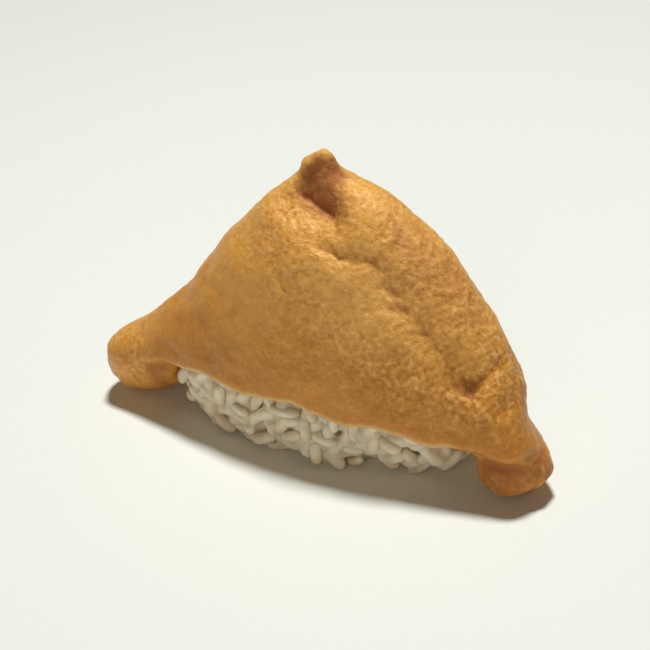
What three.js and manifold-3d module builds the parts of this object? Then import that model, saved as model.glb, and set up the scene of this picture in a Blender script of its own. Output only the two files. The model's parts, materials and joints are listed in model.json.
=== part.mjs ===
// Inari sushi: a pouch of simmered fried tofu, cut corner to corner from a square sheet,
// opened along the cut and filled with rice. It stands on the rice with the uncut corner up.
// Two of its edges are closed seams that run from that pinched corner down to two empty
// ears. The third is the cut mouth, whose lip leaves a band of rice in sight.
// Millimetres, +Z up, +X from the left ear to the right ear, -Y towards the front face.

import * as THREE from 'three';
import { mergeVertices } from 'three/addons/utils/BufferGeometryUtils.js';
import Module from 'manifold-3d';

// ---------------------------------------------------------------- driving dimensions

const LEFT_REACH = 41.2;        // pinched corner to the tip of the left ear, along X
const RIGHT_REACH = 43.2;       // pinched corner to the tip of the right ear, along X
const CORNER_HEIGHT = 50;       // height of the closed corner, under its pinched tab
const BODY_HALF_DEPTH = 15;     // middle of the pouch to its belly
const BELLY_HEIGHT = 15;        // height of the widest level, in the middle
const LIP_HEIGHT = 12.6;        // cut edge over the table, in the middle
const WALL = 1.8;               // thickness of the fried tofu
const LIP_WALL = 1.2;           // thickness at its cut edge
const LIP_TURN = 25;            // degrees over which the cut edge gets thinner
const LIP_LIMIT = 0.5;          // farthest from the belly it goes, as a share of the section

// Height of the seams along the slopes: exponents of the fall, and where it draws in or out.
const LEFT_SEAM_BOW = [1.12, 1.12];
const RIGHT_SEAM_BOW = [1.85, 1.4];
const LEFT_WAIST = { rise: -2.4, share: 0.6, width: 0.2 };
const RIGHT_WAIST = { rise: -1.9, share: 0.89, width: 0.06 };
const LEFT_KNOB = { rise: 2.6, share: 0.92, width: 0.1 };

// The empty ears.
const EAR_TIP_HEIGHT = 5.2;     // height of the outermost point
const EAR_HALF_DEPTH = 6.4;     // middle to side
const EAR_BELLY_HEIGHT = 6.4;   // height of the widest level
const EAR_LIP_HEIGHT = 10.9;    // cut edge over the table
const EAR_CLEARANCE = 0.3;      // over the table, so that the rice alone carries
const EAR_ROUNDING = 5;         // length over which an ear closes to its tip
const TIP_FULLNESS = 2;         // how blunt its upper side stays, 1 or more
const LEFT_EAR_FORWARD = 5.4;   // how far an ear stands in front of the middle of the body
const RIGHT_EAR_FORWARD = 4.2;
const LEFT_HEEL = { rise: 0.4, share: 0.58, width: 0.15 };    // share of the underside's depth
const RIGHT_HEEL = { rise: 0.85, share: 0.7, width: 0.1 };    // that rises next to the rice

// The mouth: the back sheet wraps under each ear and tucks in behind the front lip.
const MOUTH_GAP = 10;                   // degrees of an ear's section left open
const MOUTH_TUCK = 1.1;                 // how far the lower lip stands inside the upper one
const TUCK_TURN = 50;                   // degrees over which it draws in
const LEFT_MOUTH = [-30.5, -28];        // closed, open
const RIGHT_MOUTH = [42.6, 40.4];
const LEFT_WRAP = [-23, -27];           // free, wrapped under
const RIGHT_WRAP = [28, 31.6];
const RIGHT_LIP_DIP = { rise: -2.3, share: 0.62, width: 0.28 };   // where the lip sags
const LIP_WAVES = [[0.28, 0.41, 1], [0.18, 0.93, 0]];   // height, radians per mm, phase

// Sections: tents in the body, round tubes in the ears. An exponent of 2 is an ellipse, less
// is nearer to a straight slope and more is boxier.
const TENT_SHARE = 0.55;        // last tent on the way to an ear
const TUBE_SHARE = 0.95;        // first tube
const TENT = { across: 2.3, upright: 1.4 };
const TUBE = { across: 2, upright: 2 };
const DEPTH_POWER = 1.5;        // how fast the pouch gets thinner towards the ears

// The pinched tab of the empty corner: it stands over the seam and leans to the right.
const TAB = {
  x: -0.2, y: -0.4, height: 3.1, halfWidth: 3.7, halfThickness: 2.9, steepness: 4, lean: 0.28,
};

// Creases of the skin, as lines on the front (-1) or back (1) seen square on (x, z).
const CREASES = [
  { side: -1, depth: 2.2, width: 2.8, line: [[-0.5, 47.5], [4, 46.3]] },
  { side: -1, depth: 1.6, width: 1.4, line: [[-4.5, 44.6], [1.4, 44.1], [7, 44], [8, 42.8]] },
  { side: -1, depth: 1, width: 1.5, line: [[2.9, 40.9], [6.5, 39.3], [13, 39.6]] },
  { side: -1, depth: 0.8, width: 1.8, line: [[13.8, 40], [16.4, 36.5], [18.6, 33.3], [28.8, 24]] },
  { side: -1, depth: 1.6, width: 1.7, line: [[28.8, 24], [31.3, 21.1], [33, 21.3]] },
  { side: -1, depth: 0.8, width: 1.4, line: [[31.3, 21.1], [34.6, 24.2]] },
  { side: 1, depth: 1.3, width: 1.6, line: [[-6, 43], [0, 43.5], [7, 44]] },
  { side: 1, depth: 0.7, width: 1.9, line: [[-6, 42], [-16, 32], [-27, 21]] },
  { side: 1, depth: 1.4, width: 1.7, line: [[-27, 21], [-31, 17]] },
];

// The filling.
const RICE_LEFT = -24.8;
const RICE_RIGHT = 28.6;
const RICE_END_ROUNDING = 8;
const FIT_GAP = 0.45;           // between the pouch and the rice
const LIP_MARGIN = 4;           // degrees that grains keep clear of the cut edge
const SEAM_SLACK = 2.4;         // more room over the rice, under the seams and their folds
const RICE_HEART = 0.6;         // height of its heart, as a share of the belly's
const RICE_FOOT_INSET = 1.2;    // how far it draws in towards the table, in the middle
const RICE_END_INSET = 4.2;     // and towards its ends
const RICE_FOOT_RADIUS = 1.6;
const RICE_SIDE = { height: 1 / 2, inset: 1 / 3 };   // bend of its sides: shares of belly height, foot inset
const GRAIN_LENGTH = 5.6;
const GRAIN_WIDTH = 2.8;
const GRAIN_HEIGHT = 2.5;
const GRAIN_COUNT = 132;
const GRAIN_SIZES = [1.12, 0.86];
const GRAIN_SEED = 7;
const GRAIN_REACH = 0.97;       // share of the filling's length that they cover
const GRAIN_TOP = 0.78;         // highest grain, as a share of the belly's height
const GRAIN_STEEPNESS = 1.1;    // steepest lie, in radians
const GRAIN_STRAY = 0.35;       // how far they turn away from the core's side

// Fineness of the faceted solids.
const STATIONS = 62;            // sections from ear tip to ear tip
const OUTER_STEPS = [34, 14];   // steps along the outside: over the top, and wrapped under
const INNER_STEPS = [11, 5];    // the same along the inside
const CORNER_CROWDING = [0.13, 0.05];   // how much closer they come at the closed corner
const RICE_STATIONS = 20;
const RICE_STEPS = 12;
const RICE_END_CROWDING = 0.8;  // how much closer its sections come at its ends
const MERGE_DISTANCE = 0.001;   // points this close are one
const ROOM = 200;               // side of a box that holds the whole part with room to spare

// Colours and how rough they are, from 0, a mirror, to 1.
const TOFU_FINISH = { color: 0xb87a3c, roughness: 0.4 };
const RICE_FINISH = { color: 0xe8e2d0, roughness: 0.45 };

const DEG = Math.PI / 180;
const { lerp, clamp, smoothstep } = THREE.MathUtils;

// ---------------------------------------------------------------- form of the pouch

// Share of the way from the middle of the pouch (0) to an ear's tip (1).
function outward(x) {
  return clamp(x < 0 ? -x / LEFT_REACH : x / RIGHT_REACH, 0, 1);
}

// A rise at one place along the pouch, falling smoothly to 0 on both sides of it.
function swelling(x, { rise, share, width }) {
  return rise * Math.exp(-Math.pow((outward(x) - share) / width, 2));
}

// The closed seams, seen from the front: from the corner down to the tips of the ears.
function seamHeight(x) {
  const [power, root] = x < 0 ? LEFT_SEAM_BOW : RIGHT_SEAM_BOW;
  const fall = Math.pow(1 - Math.pow(outward(x), power), 1 / root);
  const straight = lerp(EAR_TIP_HEIGHT, CORNER_HEIGHT, fall);
  if (x > 0) return straight + swelling(x, RIGHT_WAIST);
  return straight + swelling(x, LEFT_WAIST) + swelling(x, LEFT_KNOB);
}

// 1 along the pouch, closing to 0 in a quarter circle at the tips of the ears.
function earClosing(x) {
  const reach = x < 0 ? LEFT_REACH : RIGHT_REACH;
  const beyond = clamp((Math.abs(x) - (reach - EAR_ROUNDING)) / EAR_ROUNDING, 0, 1);
  return Math.sqrt(1 - beyond * beyond);
}

// One upright section: a puffed tent in the body, a round tube in the ears.
function section(x) {
  const t = outward(x);
  const swell = 1 - t * t;
  const closing = earClosing(x);
  const tube = smoothstep(t, TENT_SHARE, TUBE_SHARE);
  const forward = x < 0 ? LEFT_EAR_FORWARD : RIGHT_EAR_FORWARD;
  const underside = 1 - swelling(x, x < 0 ? LEFT_HEEL : RIGHT_HEEL);
  const bellyHeight = lerp(EAR_BELLY_HEIGHT, BELLY_HEIGHT, swell);
  const middle = lerp(EAR_TIP_HEIGHT, bellyHeight, closing);
  return {
    y: -forward * (1 - swell),
    z: middle,
    half: closing * lerp(EAR_HALF_DEPTH, BODY_HALF_DEPTH, Math.pow(swell, DEPTH_POWER)),
    up: Math.max(seamHeight(x) - middle, 0) * Math.min(1, TIP_FULLNESS * closing),
    down: (middle - lerp(EAR_TIP_HEIGHT, EAR_CLEARANCE, closing)) * underside,
    across: lerp(TENT.across, TUBE.across, tube),
    upright: lerp(TENT.upright, TUBE.upright, tube),
  };
}

// Angle 0 faces the front at the belly, 90 is the seam, 180 the back, 270 straight down.
function skinPoint(x, angle) {
  const s = section(x);
  const cos = Math.cos(angle);
  const sin = Math.sin(angle);
  const y = s.y - s.half * Math.sign(cos) * Math.pow(Math.abs(cos), 2 / s.across);
  const rise = sin > 0 ? s.up * Math.pow(sin, 2 / s.upright) : s.down * sin;
  return new THREE.Vector3(x, y, s.z + rise);
}

function skinNormal(x, angle) {
  if (earClosing(x) === 0) return new THREE.Vector3(Math.sign(x), 0, 0);
  const dx = 0.05;
  const turn = 0.03;
  const along = skinPoint(x + dx, angle).sub(skinPoint(x - dx, angle));
  const around = skinPoint(x, angle + turn).sub(skinPoint(x, angle - turn));
  return along.cross(around).normalize();
}

// How far the mouth is open at the ears (0 to 1), and how far the back sheet wraps under.
function mouthOpen(x) {
  return Math.min(smoothstep(x, ...LEFT_MOUTH), 1 - smoothstep(x, RIGHT_MOUTH[1], RIGHT_MOUTH[0]));
}

function wrapShare(x) {
  return Math.max(1 - smoothstep(x, LEFT_WRAP[1], LEFT_WRAP[0]), smoothstep(x, ...RIGHT_WRAP));
}

// Angles of the cut edge. In the body the front and back lips face each other; in the ears
// the back sheet comes round below and meets the front lip at the corner of the mouth.
function frontLip(x) {
  const s = section(x);
  const swell = 1 - Math.pow(outward(x), 2);
  let height = lerp(EAR_LIP_HEIGHT, LIP_HEIGHT, swell) - s.z;
  if (x > 0) height += swelling(x, RIGHT_LIP_DIP);
  for (const [rise, turn, phase] of LIP_WAVES) height += rise * Math.sin(turn * x + phase);
  const share = height / Math.max(height < 0 ? s.down : s.up, LIP_WALL / 2);
  const reached = clamp(share, -LIP_LIMIT, LIP_LIMIT);
  return reached < 0 ? Math.asin(reached) : Math.asin(Math.pow(reached, s.upright / 2));
}

function backLip(x) {
  const free = Math.PI - frontLip(x);
  const wrapped = frontLip(x) + 2 * Math.PI - MOUTH_GAP * DEG * mouthOpen(x);
  return lerp(free, wrapped, wrapShare(x));
}

// Angles of the points along a section's sheet, from the front lip to the back lip. The
// steps of the wrapped part shrink to nothing where the back sheet hangs free.
function sheetAngles(x, [over, under], margin) {
  const from = frontLip(x) - margin;
  const turn = Math.PI - frontLip(x);
  const to = backLip(x) + margin;
  const angles = [];
  for (let j = 0; j < over; j += 1) angles.push(lerp(from, turn, j / over));
  for (let j = 0; j <= under; j += 1) angles.push(lerp(turn, to, j / under));
  return angles;
}

// ---------------------------------------------------------------- folds and dents

function distanceToLine(x, z, line) {
  let nearest = Infinity;
  for (let i = 1; i < line.length; i += 1) {
    const [ax, az] = line[i - 1];
    const [bx, bz] = line[i];
    const share = ((x - ax) * (bx - ax) + (z - az) * (bz - az)) / ((bx - ax) ** 2 + (bz - az) ** 2);
    const k = clamp(share, 0, 1);
    nearest = Math.min(nearest, Math.hypot(x - lerp(ax, bx, k), z - lerp(az, bz, k)));
  }
  return nearest;
}

// Depth of the folds at a point of the skin: where they cross, the deepest one counts.
function foldDepth(point, angle) {
  const side = angle < Math.PI / 2 ? -1 : 1;
  let depth = 0;
  for (const crease of CREASES) {
    if (crease.side !== side) continue;
    const away = distanceToLine(point.x, point.z, crease.line) / crease.width;
    depth = Math.max(depth, crease.depth * Math.exp(-away * away));
  }
  return depth;
}

// Rise of the pinched tab over the empty corner, steep at its sides.
function tabRise(point) {
  const across = Math.abs((point.x - TAB.x) / TAB.halfWidth);
  const through = Math.abs((point.y - TAB.y) / TAB.halfThickness);
  return TAB.height * Math.exp(-Math.pow(across, TAB.steepness) - Math.pow(through, TAB.steepness));
}

// A point of the sheet: so many millimetres below its outside, square to it, and the whole
// sheet there sunk by its folds and by the tuck of the lower lip.
function pouchPoint(x, angle, depth, tuck) {
  const point = skinPoint(x, angle);
  const fold = foldDepth(point, angle);
  const rise = depth > 0 ? 0 : tabRise(point);
  point.addScaledVector(skinNormal(x, angle), -depth - tuck - fold);
  point.z += rise;
  point.x += rise * TAB.lean;
  return point;
}

// ---------------------------------------------------------------- meshes from sections

// Spaces the sections more closely at the tips of the ears and at the pinched corner.
function stationX(share) {
  const turn = (2 * share - 1) * Math.PI;
  const spread = Math.sin(turn / 2)
    - CORNER_CROWDING[0] * Math.sin(turn) - CORNER_CROWDING[1] * Math.sin(2 * turn);
  return spread * (share < 0.5 ? LEFT_REACH : RIGHT_REACH);
}

// Joins loops of equal length into one closed mesh, each face split along its shorter
// diagonal. Where loops shrink to a point or fold flat onto themselves, the triangles that
// cancel are dropped.
function loft(loops) {
  const count = loops[0].length;
  const points = loops.flat();
  const positions = points.flatMap((p) => [p.x, p.y, p.z]);
  const indices = [];
  for (let i = 0; i + 1 < loops.length; i += 1) {
    for (let j = 0; j < count; j += 1) {
      const next = (j + 1) % count;
      const [a, b] = [i * count + j, i * count + next];
      const [c, d] = [b + count, a + count];
      const shortest = points[a].distanceTo(points[c]) < points[b].distanceTo(points[d]);
      indices.push(...(shortest ? [a, c, b, a, d, c] : [a, d, b, b, d, c]));
    }
  }
  const grid = new THREE.BufferGeometry();
  grid.setAttribute('position', new THREE.Float32BufferAttribute(positions, 3));
  grid.setIndex(indices);
  return dropCancelled(mergeVertices(grid, MERGE_DISTANCE));
}

function dropCancelled(geometry) {
  const index = geometry.index.array;
  const kept = new Map();
  for (let i = 0; i < index.length; i += 3) {
    const face = [index[i], index[i + 1], index[i + 2]];
    if (new Set(face).size < 3) continue;
    const key = [...face].sort((p, q) => p - q).join();
    if (kept.has(key)) kept.delete(key);
    else kept.set(key, face);
  }
  geometry.setIndex([...kept.values()].flat());
  return geometry;
}

// One section of the sheet: along its outside from the front lip to the back lip, and back
// along its inside. In the ears the back lip tucks in under the front one.
function pouchLoop(x, outerDepth, wall, lipWall, margin) {
  const outer = sheetAngles(x, OUTER_STEPS, margin);
  const inner = sheetAngles(x, INNER_STEPS, margin);
  const end = backLip(x) + margin;
  const start = frontLip(x) - margin;
  const tuck = (angle) => MOUTH_TUCK * mouthOpen(x) * wrapShare(x)
    * smoothstep(angle, end - TUCK_TURN * DEG, end);
  const edge = lerp(wall, lipWall, mouthOpen(x));
  const thickness = (angle) => lerp(
    edge, wall, smoothstep(Math.min(angle - start, end - angle), 0, LIP_TURN * DEG));
  return [
    ...outer.map((angle) => pouchPoint(x, angle, outerDepth, tuck(angle))),
    ...inner.reverse().map((angle) => pouchPoint(x, angle, thickness(angle), tuck(angle))),
  ];
}

function stations(count, place) {
  return Array.from({ length: count + 1 }, (_, i) => place(i / count));
}

function pouchGeometry() {
  return loft(stations(STATIONS, (share) => pouchLoop(stationX(share), 0, WALL, LIP_WALL, 0)));
}

// The space that the rice keeps clear of: the pouch, thickened by the gap on all sides.
function keepOutGeometry() {
  return loft(stations(STATIONS, (share) => pouchLoop(
    stationX(share), -FIT_GAP, WALL + FIT_GAP, WALL + FIT_GAP, LIP_MARGIN * DEG)));
}

// ---------------------------------------------------------------- the filling

function riceLoop(x) {
  const s = section(x);
  const nearest = Math.min(x - RICE_LEFT, RICE_RIGHT - x);
  const beyond = clamp(1 - nearest / RICE_END_ROUNDING, 0, 1);
  const closing = Math.sqrt(1 - beyond * beyond);
  const heart = new THREE.Vector3(x, s.y, s.z * RICE_HEART);
  const loop = [];
  for (let j = 0; j <= RICE_STEPS; j += 1) {
    const angle = Math.PI * j / RICE_STEPS;
    const inset = WALL + FIT_GAP + SEAM_SLACK * Math.sin(angle) ** 2;
    loop.push(skinPoint(x, angle).addScaledVector(skinNormal(x, angle), -inset));
  }
  const front = loop[0].y;
  const back = loop[RICE_STEPS].y;
  const footInset = lerp(RICE_FOOT_INSET, RICE_END_INSET, Math.pow(x / RICE_RIGHT, 2));
  const sideInset = footInset * RICE_SIDE.inset;
  const sideHeight = s.z * RICE_SIDE.height;
  const foot = (y, inward, z) => new THREE.Vector3(x, y + inward, z);
  loop.push(foot(back, -sideInset, sideHeight));
  loop.push(foot(back, -footInset, RICE_FOOT_RADIUS));
  loop.push(foot(back, -footInset - RICE_FOOT_RADIUS, 0));
  loop.push(foot(front, footInset + RICE_FOOT_RADIUS, 0));
  loop.push(foot(front, footInset, RICE_FOOT_RADIUS));
  loop.push(foot(front, sideInset, sideHeight));
  return loop.map((p) => p.lerp(heart, 1 - closing));
}

function riceCore() {
  const place = (share) => {
    const s = 2 * share - 1;
    const spread = lerp(s, Math.sin(s * Math.PI / 2), RICE_END_CROWDING);
    return riceLoop(lerp(RICE_LEFT, RICE_RIGHT, (1 + spread) / 2));
  };
  return loft(stations(RICE_STATIONS, place));
}

// Repeatable random numbers from 0 to 1, by a linear congruential rule.
function seeded(seed) {
  const factor = 1664525;
  const step = 1013904223;
  const range = 2 ** 32;
  let state = seed;
  return () => {
    state = (Math.imul(state, factor) + step) >>> 0;
    return state / range;
  };
}

// One cooked grain: plump, of thirty-two triangles.
function grainGeometry() {
  return new THREE.OctahedronGeometry(0.5, 1).scale(GRAIN_LENGTH, GRAIN_WIDTH, GRAIN_HEIGHT);
}

// Where the grains lie on the sides of the core: the largest first, evenly spread round it
// by the golden ratio, at any height up to the lip, and most of them lying along it.
function grainPlaces() {
  const random = seeded(GRAIN_SEED);
  const goldenShare = (Math.sqrt(5) - 1) / 2;
  const places = [];
  for (let k = 0; k < GRAIN_COUNT; k += 1) {
    const round = 2 * (k * goldenShare % 1);
    const inFront = round < 1;
    const along = GRAIN_REACH * (2 * (round % 1) - 1);
    const loop = riceLoop(lerp(RICE_LEFT, RICE_RIGHT, (1 + along) / 2));
    const frontFoot = loop.length - 2;
    const backFoot = RICE_STEPS + 2;
    const [upper, lower] = inFront ? [0, frontFoot] : [RICE_STEPS, backFoot];
    const point = loop[lower].clone().lerp(loop[upper], GRAIN_TOP * random());
    const steep = GRAIN_STEEPNESS * (2 * random() - 1);
    const heading = (inFront ? 1 : -1) * Math.asin(along) + GRAIN_STRAY * (2 * random() - 1);
    const turn = new THREE.Quaternion().setFromEuler(new THREE.Euler(0, steep, heading, 'ZYX'));
    places.push({ point, turn, scale: lerp(...GRAIN_SIZES, k / GRAIN_COUNT) });
  }
  return places;
}

// ---------------------------------------------------------------- joining and cutting

const wasm = await Module();
wasm.setup();

function toSolid(geometry) {
  geometry.deleteAttribute('uv');
  geometry.deleteAttribute('normal');
  const merged = mergeVertices(geometry, MERGE_DISTANCE);
  return new wasm.Manifold(new wasm.Mesh({
    numProp: 3,
    vertProperties: new Float32Array(merged.attributes.position.array),
    triVerts: new Uint32Array(merged.index.array),
  }));
}

function toGeometry(solid) {
  const { vertProperties, triVerts } = solid.getMesh();
  const geometry = new THREE.BufferGeometry();
  geometry.setAttribute('position', new THREE.BufferAttribute(new Float32Array(vertProperties), 3));
  geometry.setIndex(new THREE.BufferAttribute(new Uint32Array(triVerts), 1));
  return geometry;
}

function riceGeometry() {
  const keepOut = toSolid(keepOutGeometry());
  const grain = grainGeometry();
  let rice = toSolid(riceCore());
  for (const { point, turn, scale } of grainPlaces()) {
    const place = new THREE.Matrix4().compose(point, turn, new THREE.Vector3().setScalar(scale));
    const piece = toSolid(grain.clone().applyMatrix4(place));
    if (piece.intersect(keepOut).isEmpty()) rice = rice.add(piece);
  }
  const aboveTable = new THREE.BoxGeometry(ROOM, ROOM, ROOM).translate(0, 0, ROOM / 2);
  return toGeometry(rice.intersect(toSolid(aboveTable)));
}

// ---------------------------------------------------------------- the part

function addPiece(group, name, geometry, finish) {
  const material = new THREE.MeshStandardMaterial({ ...finish, metalness: 0 });
  const mesh = new THREE.Mesh(geometry, material);
  mesh.name = name;
  group.add(mesh);
}

const inari = new THREE.Group();
addPiece(inari, 'pouch', pouchGeometry(), TOFU_FINISH);
addPiece(inari, 'rice', riceGeometry(), RICE_FINISH);

// The origin is the middle of the footprint, on the table.
const middle = new THREE.Box3().setFromObject(inari).getCenter(new THREE.Vector3());
inari.position.set(-middle.x, -middle.y, 0);
inari.updateMatrixWorld(true);

export default inari;
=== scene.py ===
# %% [markdown]
# # Inari sushi: a simmered tofu pouch over vinegared rice
#
# Fried tofu is simmered in sweet soy broth, cut across and opened into a pocket. The pocket is filled with
# rice and laid mouth down, so its three corners make a small tent: two ears at the sides and a pinched tab
# on top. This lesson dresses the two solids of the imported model, the pouch and the rice, in Blender.
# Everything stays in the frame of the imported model: X runs along the two ears, -Y is the front, Z is up.
# Sizes are in millimetres, and a size times MM is in Blender's metres.

# %% Load the frame
import json
import math
import random

import bpy
import numpy as np
from mathutils import Matrix, Vector
from mathutils.bvhtree import BVHTree
from mathutils.kdtree import KDTree

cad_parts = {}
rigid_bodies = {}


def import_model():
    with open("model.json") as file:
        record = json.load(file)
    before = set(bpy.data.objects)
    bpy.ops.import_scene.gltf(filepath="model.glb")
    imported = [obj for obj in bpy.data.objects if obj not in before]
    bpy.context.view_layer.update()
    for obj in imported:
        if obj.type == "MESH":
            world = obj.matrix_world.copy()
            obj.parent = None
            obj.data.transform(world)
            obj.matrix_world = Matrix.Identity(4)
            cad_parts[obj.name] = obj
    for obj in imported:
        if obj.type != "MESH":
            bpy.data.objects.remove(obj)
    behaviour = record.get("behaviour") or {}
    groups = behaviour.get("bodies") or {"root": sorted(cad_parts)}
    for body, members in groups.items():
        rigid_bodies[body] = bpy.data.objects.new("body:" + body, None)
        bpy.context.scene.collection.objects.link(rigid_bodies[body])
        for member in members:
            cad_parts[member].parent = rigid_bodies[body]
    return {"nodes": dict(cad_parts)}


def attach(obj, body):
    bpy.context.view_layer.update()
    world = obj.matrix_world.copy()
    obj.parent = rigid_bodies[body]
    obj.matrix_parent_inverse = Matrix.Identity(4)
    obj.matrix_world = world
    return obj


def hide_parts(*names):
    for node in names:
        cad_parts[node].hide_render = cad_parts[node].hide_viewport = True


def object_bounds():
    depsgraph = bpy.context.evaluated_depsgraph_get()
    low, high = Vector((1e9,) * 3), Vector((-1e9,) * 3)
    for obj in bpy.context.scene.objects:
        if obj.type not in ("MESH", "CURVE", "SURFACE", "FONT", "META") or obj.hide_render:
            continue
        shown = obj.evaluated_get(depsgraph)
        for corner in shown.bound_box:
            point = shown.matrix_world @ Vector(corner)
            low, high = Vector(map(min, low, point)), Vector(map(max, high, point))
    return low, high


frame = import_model()
CAD_LOW, CAD_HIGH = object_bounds()
MM = 0.001
print("packed model, mm:", [round(side / MM, 1) for side in CAD_HIGH - CAD_LOW])

# %% [markdown]
# ## Camera
#
# A long lens from above and to the right shows the whole front of the tent with both ears. The camera
# stands where a person at the table would look from, and is rolled by a few degrees, as when held by hand.
# A constraint could aim it, but a direction turned into angles leaves nothing live behind.

# %% Camera
CAMERA_PLACE = Vector((179.6, -282.6, 211.0)) * MM
CAMERA_AIM = Vector((0.0, -2.0, 21.0)) * MM
CAMERA_LENS = 127.2
CAMERA_ROLL = math.radians(-2.65)

camera = bpy.data.objects.new("camera", bpy.data.cameras.new("camera"))
bpy.context.scene.collection.objects.link(camera)
camera.data.lens = CAMERA_LENS
camera.data.clip_start = 10 * MM
camera.location = CAMERA_PLACE
look = (CAMERA_AIM - CAMERA_PLACE).to_track_quat("-Z", "Y").to_matrix()
camera.rotation_euler = (look @ Matrix.Rotation(CAMERA_ROLL, 3, "Z")).to_euler()
bpy.context.scene.camera = camera
print("camera:", round((CAMERA_AIM - CAMERA_PLACE).length / MM), "mm from the pouch")

# %% [markdown]
# ## One piece at a time
#
# Blender's operators act on whatever is selected, so each step first picks its own piece alone. A modifier
# could stay live, but it is applied at once, which leaves a plain mesh for the next step to shape further.

# %% One piece at a time
def pick(piece):
    """Selects one piece alone and makes it the active one."""
    bpy.ops.object.select_all(action="DESELECT")
    piece.select_set(True)
    bpy.context.view_layer.objects.active = piece


def shape_with(piece, kind, **settings):
    """Adds one modifier to the piece and applies it."""
    pick(piece)
    modifier = piece.modifiers.new(kind.lower(), kind)
    for name, value in settings.items():
        setattr(modifier, name, value)
    bpy.ops.object.modifier_apply(modifier=modifier.name)


# %% [markdown]
# ## The pouch's body
#
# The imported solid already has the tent's true size, with its belly, two ears and tab, but its faces are a
# few millimetres wide. A new shell could be drawn round the rice, but a copy of the solid keeps the size by
# itself. Its loose triangles are merged into one skin first, and subdivision then rounds them.

# %% The pouch's body
def copy_of_node(name, node):
    """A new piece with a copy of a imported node's mesh, its loose triangles merged into one skin."""
    piece = bpy.data.objects.new(name, frame["nodes"][node].data.copy())
    bpy.context.scene.collection.objects.link(piece)
    piece.data.materials.clear()
    pick(piece)
    bpy.ops.object.mode_set(mode="EDIT")
    bpy.ops.mesh.select_all(action="SELECT")
    bpy.ops.mesh.remove_doubles(threshold=0.001 * MM)
    bpy.ops.mesh.tris_convert_to_quads()
    bpy.ops.object.mode_set(mode="OBJECT")
    return piece


pouch = copy_of_node("tofu_pouch", "pouch")
shape_with(pouch, "SUBSURF", levels=2, render_levels=2)
print("pouch:", len(pouch.data.polygons), "faces")

# %% [markdown]
# ## Full ears and tab
#
# In an ear the two sheets of tofu lie on each other and fill it. The tab is a knob of gathered tofu with
# upright sides, higher at its right. Pulling the skin out there would thin its net of faces, so ovals of
# skin are set into the ears and the tab instead, and the next step makes them one with the pouch.

# %% Full ears and tab
EAR_CORES = (
    ((35.5, -3.6, 6.0), (5.2, 4.9, 3.4)),
    ((36.3, -6.3, 4.9), (5.3, 3.6, 3.9)),
    ((35.2, -6.6, 8.0), (4.2, 3.0, 3.2)),
    ((-29.0, -6.0, 7.6), (5.6, 4.2, 3.4)),
    ((-28.4, -8.0, 9.2), (4.0, 3.0, 3.4)),
)
TAB_LOBES = (
    ((0.3, -0.4, 50.5), (2.0, 1.5, 2.7)),
    ((-1.8, -0.9, 49.5), (2.3, 1.6, 2.1)),
)


def add_ball(centre, radii, segments=32, rings=16):
    """A new ball with this centre and these half sizes, its place kept in its mesh."""
    bpy.ops.object.select_all(action="DESELECT")
    bpy.ops.mesh.primitive_uv_sphere_add(
        segments=segments, ring_count=rings, radius=1.0,
        location=Vector(centre) * MM, scale=Vector(radii) * MM,
    )
    bpy.ops.object.transform_apply(location=True, rotation=True, scale=True)
    return bpy.context.object


def join_into(piece, *others):
    """Joins other meshes into the piece."""
    pick(piece)
    for other in others:
        other.select_set(True)
    bpy.ops.object.join()


join_into(pouch, *[add_ball(centre, radii) for centre, radii in EAR_CORES + TAB_LOBES])
print("set into the pouch:", len(EAR_CORES + TAB_LOBES), "ovals")

# %% [markdown]
# ## One skin
#
# Sheets of wet tofu that touch stick together, and only a line shows between them. A boolean union would
# join them with sharp seams and uneven faces. Swelling the whole, remeshing it on a fine grid and shrinking
# it again closes narrow slots to a soft line, and gives the even net that folds and blisters need.

# %% One skin
NET = 0.42 * MM
SLOT = 0.6 * MM


def close_slots():
    """Swells the pouch, melts what touches into one, and shrinks it again."""
    shape_with(pouch, "DISPLACE", strength=SLOT, mid_level=0.0)
    shape_with(pouch, "REMESH", mode="VOXEL", voxel_size=NET)
    shape_with(pouch, "DISPLACE", strength=-SLOT, mid_level=0.0)
    shape_with(pouch, "REMESH", mode="VOXEL", voxel_size=NET)
    shape_with(pouch, "SMOOTH", factor=0.5, iterations=4)


close_slots()
print("pouch:", len(pouch.data.polygons), "faces")

# %% [markdown]
# ## Tab, slopes and ears
#
# Handling has left its marks on the tent. The cook pinches the top corner, so the slope to its right is
# pressed down and the tab stands up as a knob. The left slope is fuller, the right flank is squeezed in
# above its ear, and the lip of the mouth sags over the rice. By hand this is sculpting. Here each touch is
# a shift of the points in a soft oval region, which keeps the net of faces whole and can be read and redone.

# %% Points as arrays
def points_of(piece):
    """The places of the mesh's points, in millimetres, one row each."""
    flat = np.zeros(len(piece.data.vertices) * 3)
    piece.data.vertices.foreach_get("co", flat)
    return flat.reshape(-1, 3) / MM


def put_points(piece, places):
    """Gives the mesh's points new places, in millimetres."""
    piece.data.vertices.foreach_set("co", (places * MM).ravel())
    piece.data.update()


def press(piece, centre, radii, move):
    """Moves the skin of a soft oval region by up to this much."""
    places = points_of(piece)
    share = np.exp(-(((places - centre) / radii) ** 2).sum(1))
    put_points(piece, places + share[:, None] * np.array(move))


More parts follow.
